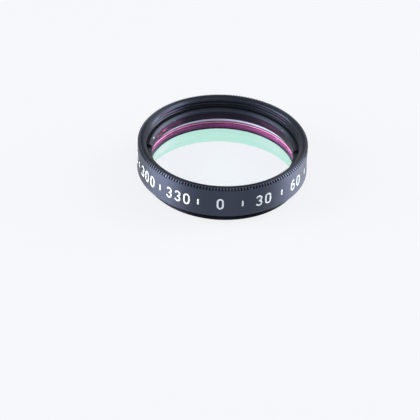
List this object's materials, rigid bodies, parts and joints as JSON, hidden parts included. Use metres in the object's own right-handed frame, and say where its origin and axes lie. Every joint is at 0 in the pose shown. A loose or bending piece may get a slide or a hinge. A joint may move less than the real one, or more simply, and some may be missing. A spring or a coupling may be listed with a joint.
{
  "type": "luminance filter",
  "caption": "Round luminance filter: a coated clear glass disc held by a slotted ring in a black threaded cell with a finely knurled bevelled rim.",
  "frame": {"origin": "centre of the lower end of the male thread, on the optical axis, where the filter stands", "axes": "+Z along the optical axis, from the male thread towards the knurled rim; +X through one spanner slot of the retaining ring"},
  "size_m": [0.031, 0.031, 0.0077],
  "materials": {
    "cell_black_anodised": "black anodised, satin, fine turned",
    "ring_black_anodised": "black anodised, matt",
    "coated_glass": "polished, coated on both faces, with a fine ground edge",
    "white_scale_fill": "white paint filling the engraved figures, satin"
  },
  "bodies": {
    "root": {"filter_cell": "cell_black_anodised", "retaining_ring": "ring_black_anodised", "filter_glass": "coated_glass"}
  },
  "joints": []
}
